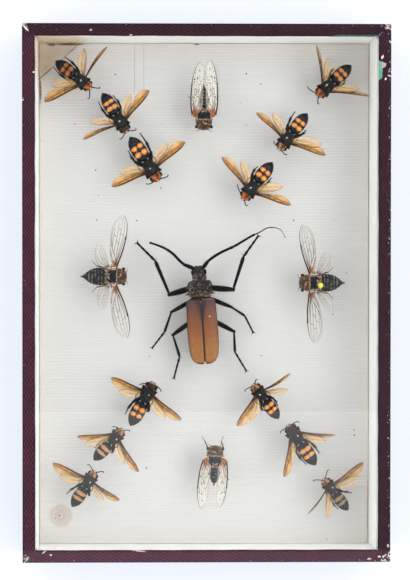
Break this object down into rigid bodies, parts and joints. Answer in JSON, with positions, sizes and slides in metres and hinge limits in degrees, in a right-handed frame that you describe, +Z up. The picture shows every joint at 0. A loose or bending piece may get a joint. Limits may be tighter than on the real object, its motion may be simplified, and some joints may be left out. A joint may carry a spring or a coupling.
{
  "type": "insect collection drawer",
  "caption": "Flat glass-topped insect collection drawer with a lift-off lid, leatherette edges, a ribbed paper floor and pinned wasps, cicadas and a longhorn beetle.",
  "frame": {"origin": "centre of the underside", "axes": "+X across the box, +Y along it towards the end with the head-down cicada, +Z up through the glass"},
  "size_m": [0.267, 0.39, 0.054],
  "materials": {
    "bottom_paper": "plain brown paper over millboard",
    "wall_board": "plain softwood under the covering",
    "leatherette": "maroon embossed leatherette, worn white at the corners",
    "white_paper": "matte off-white paper over board",
    "cork": "pressed cork",
    "ribbed_paper": "ribbed white paper with water stains and pin pricks",
    "glass": "clear window glass",
    "wasp_chitin": "glossy black with orange spots and amber wings",
    "cicada_chitin": "mottled brown and blue-black with clear veined wings",
    "beetle_chitin": "rough black head and maroon to orange wing cases",
    "pin_steel": "plain steel",
    "ball_pin": "yellow glass-like head on a steel shank"
  },
  "bodies": {
    "root": {"bottom_board": "bottom_paper", "base_wall_left": "wall_board", "base_wall_right": "wall_board", "base_wall_top": "wall_board", "base_wall_foot": "wall_board", "base_covering": "leatherette", "lip_left": "white_paper", "lip_right": "white_paper", "lip_top": "white_paper", "lip_foot": "white_paper", "pinning_sheet": "cork", "floor_paper": "ribbed_paper", "lid_wall_left": "wall_board", "lid_wall_right": "wall_board", "lid_wall_top": "wall_board", "lid_wall_foot": "wall_board", "glass_pane": "glass", "lid_covering_left": "leatherette", "lid_covering_right": "leatherette", "lid_covering_top": "leatherette", "lid_covering_foot": "leatherette", "wasp_1": "wasp_chitin", "wasp_2": "wasp_chitin", "wasp_3": "wasp_chitin", "wasp_4": "wasp_chitin", "wasp_5": "wasp_chitin", "wasp_6": "wasp_chitin", "wasp_7": "wasp_chitin", "wasp_8": "wasp_chitin", "wasp_9": "wasp_chitin", "wasp_10": "wasp_chitin", "wasp_11": "wasp_chitin", "wasp_12": "wasp_chitin", "cicada_top": "cicada_chitin", "cicada_left": "cicada_chitin", "cicada_right": "cicada_chitin", "cicada_foot": "cicada_chitin", "longhorn_beetle": "beetle_chitin", "pin_wasp_1": "pin_steel", "pin_wasp_2": "pin_steel", "pin_wasp_3": "pin_steel", "pin_wasp_4": "pin_steel", "pin_wasp_5": "pin_steel", "pin_wasp_6": "pin_steel", "pin_wasp_7": "pin_steel", "pin_wasp_8": "pin_steel", "pin_wasp_9": "pin_steel", "pin_wasp_10": "pin_steel", "pin_wasp_11": "pin_steel", "pin_wasp_12": "pin_steel", "pin_cicada_top": "pin_steel", "pin_cicada_left": "pin_steel", "pin_cicada_right": "ball_pin", "pin_cicada_foot": "pin_steel", "pin_longhorn_beetle": "pin_steel"}
  },
  "joints": []
}
